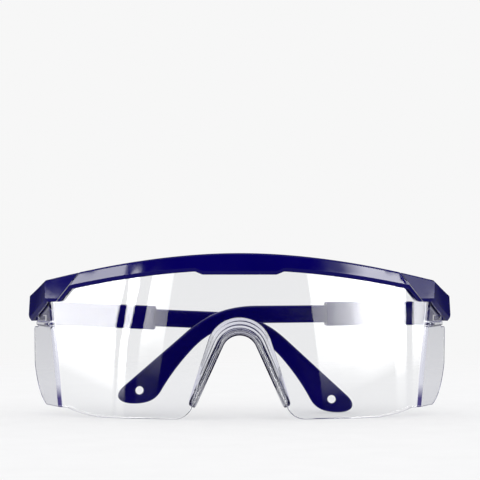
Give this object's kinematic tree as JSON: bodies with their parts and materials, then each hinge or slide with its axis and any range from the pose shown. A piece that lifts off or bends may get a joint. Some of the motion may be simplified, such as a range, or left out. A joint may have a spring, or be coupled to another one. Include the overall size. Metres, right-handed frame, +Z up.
{
  "type": "safety glasses",
  "caption": "Wrap-round safety glasses with a one-piece clear lens, a blue brow bar, a soft nose pad and folding telescopic temples, shown folded.",
  "frame": {"origin": "middle of the bottom of the folded glasses' bounding box, on the surface that they stand on", "axes": "+X towards the wearer's left, along the brow bar; +Y back towards the wearer; +Z up. The lens faces -Y."},
  "size_m": [0.1572, 0.049, 0.0586],
  "materials": {
    "frame_blue": "gloss",
    "lens_clear": "clear gloss",
    "nose_clear": "soft clear",
    "screw_steel": "bright"
  },
  "bodies": {
    "front": {"lens": "lens_clear", "brow_frame": "frame_blue", "nose_pad": "nose_clear", "left_end_block": "frame_blue", "right_end_block": "frame_blue", "left_block_screw": "screw_steel", "right_block_screw": "screw_steel", "left_hinge_pin": "screw_steel", "right_hinge_pin": "screw_steel"},
    "left_sleeve": {"left_temple_sleeve": "frame_blue"},
    "left_arm": {"left_temple_arm": "frame_blue"},
    "right_sleeve": {"right_temple_sleeve": "frame_blue"},
    "right_arm": {"right_temple_arm": "frame_blue"}
  },
  "joints": [
    {"name": "left_temple_fold", "type": "hinge", "parent": "front", "child": "left_sleeve", "pos_m": [0.0733, 0.02021, 0.0366], "axis": [0.0044, 0, -1], "range_deg": [0, 100.5]},
    {"name": "left_arm_slide", "type": "slide", "parent": "left_sleeve", "child": "left_arm", "axis": [-0.9832, -0.1822, -0.0043], "range_m": [-0.00265, 0.00935]},
    {"name": "right_temple_fold", "type": "hinge", "parent": "front", "child": "right_sleeve", "pos_m": [-0.0733, 0.02021, 0.0366], "axis": [0.0419, 0, 0.9991], "range_deg": [0, 94]},
    {"name": "right_arm_slide", "type": "slide", "parent": "right_sleeve", "child": "right_arm", "axis": [0.9967, -0.0698, -0.0418], "range_m": [0, 0.012]}
  ]
}
